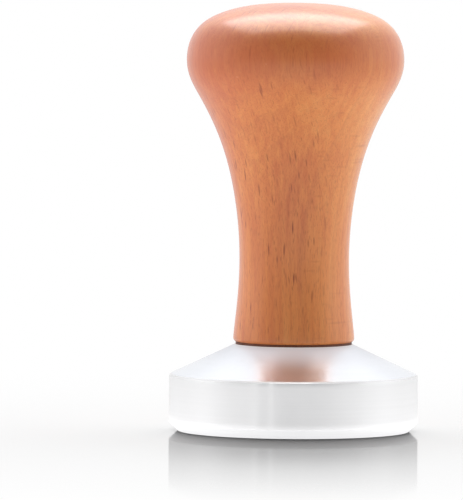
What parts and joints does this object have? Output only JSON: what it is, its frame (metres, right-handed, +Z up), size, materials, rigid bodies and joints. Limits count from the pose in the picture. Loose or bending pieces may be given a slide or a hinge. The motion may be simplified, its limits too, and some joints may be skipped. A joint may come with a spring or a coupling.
{
  "type": "espresso tamper",
  "caption": "Flat-based coffee tamper: a turned beech mushroom handle screwed onto a bevelled, cone-topped aluminium tamping base.",
  "frame": {"origin": "centre of the flat tamping face, on the turning axis", "axes": "+Z up the turning axis from the tamping face to the crown of the handle; +X and +Y are square to it, and the body is round, so they only fix the thread start"},
  "size_m": [0.051, 0.051, 0.0877],
  "materials": {
    "base_metal": "polished, with fine turning marks",
    "stud_steel": "bright zinc plated",
    "washer_rubber": "matte dark brown",
    "insert_brass": "as turned",
    "handle_wood": "semi-gloss lacquered beech"
  },
  "bodies": {
    "base": {"base": "base_metal", "stud": "stud_steel"},
    "washer": {"washer": "washer_rubber"},
    "handle": {"handle": "handle_wood", "threaded_insert": "insert_brass"}
  },
  "joints": [
    {"name": "handle_turn", "type": "hinge", "parent": "base", "child": "washer", "pos_m": [0, 0, 0.01805], "axis": [0, 0, 1], "range_deg": [0, 3600]},
    {"name": "handle_lift", "type": "slide", "parent": "washer", "child": "handle", "axis": [0, 0, 1], "range_m": [0, 0.0125]}
  ],
  "couplings": [
    {"joint": "handle_lift", "follows": "handle_turn", "m_per_rad": 0.00019894}
  ]
}
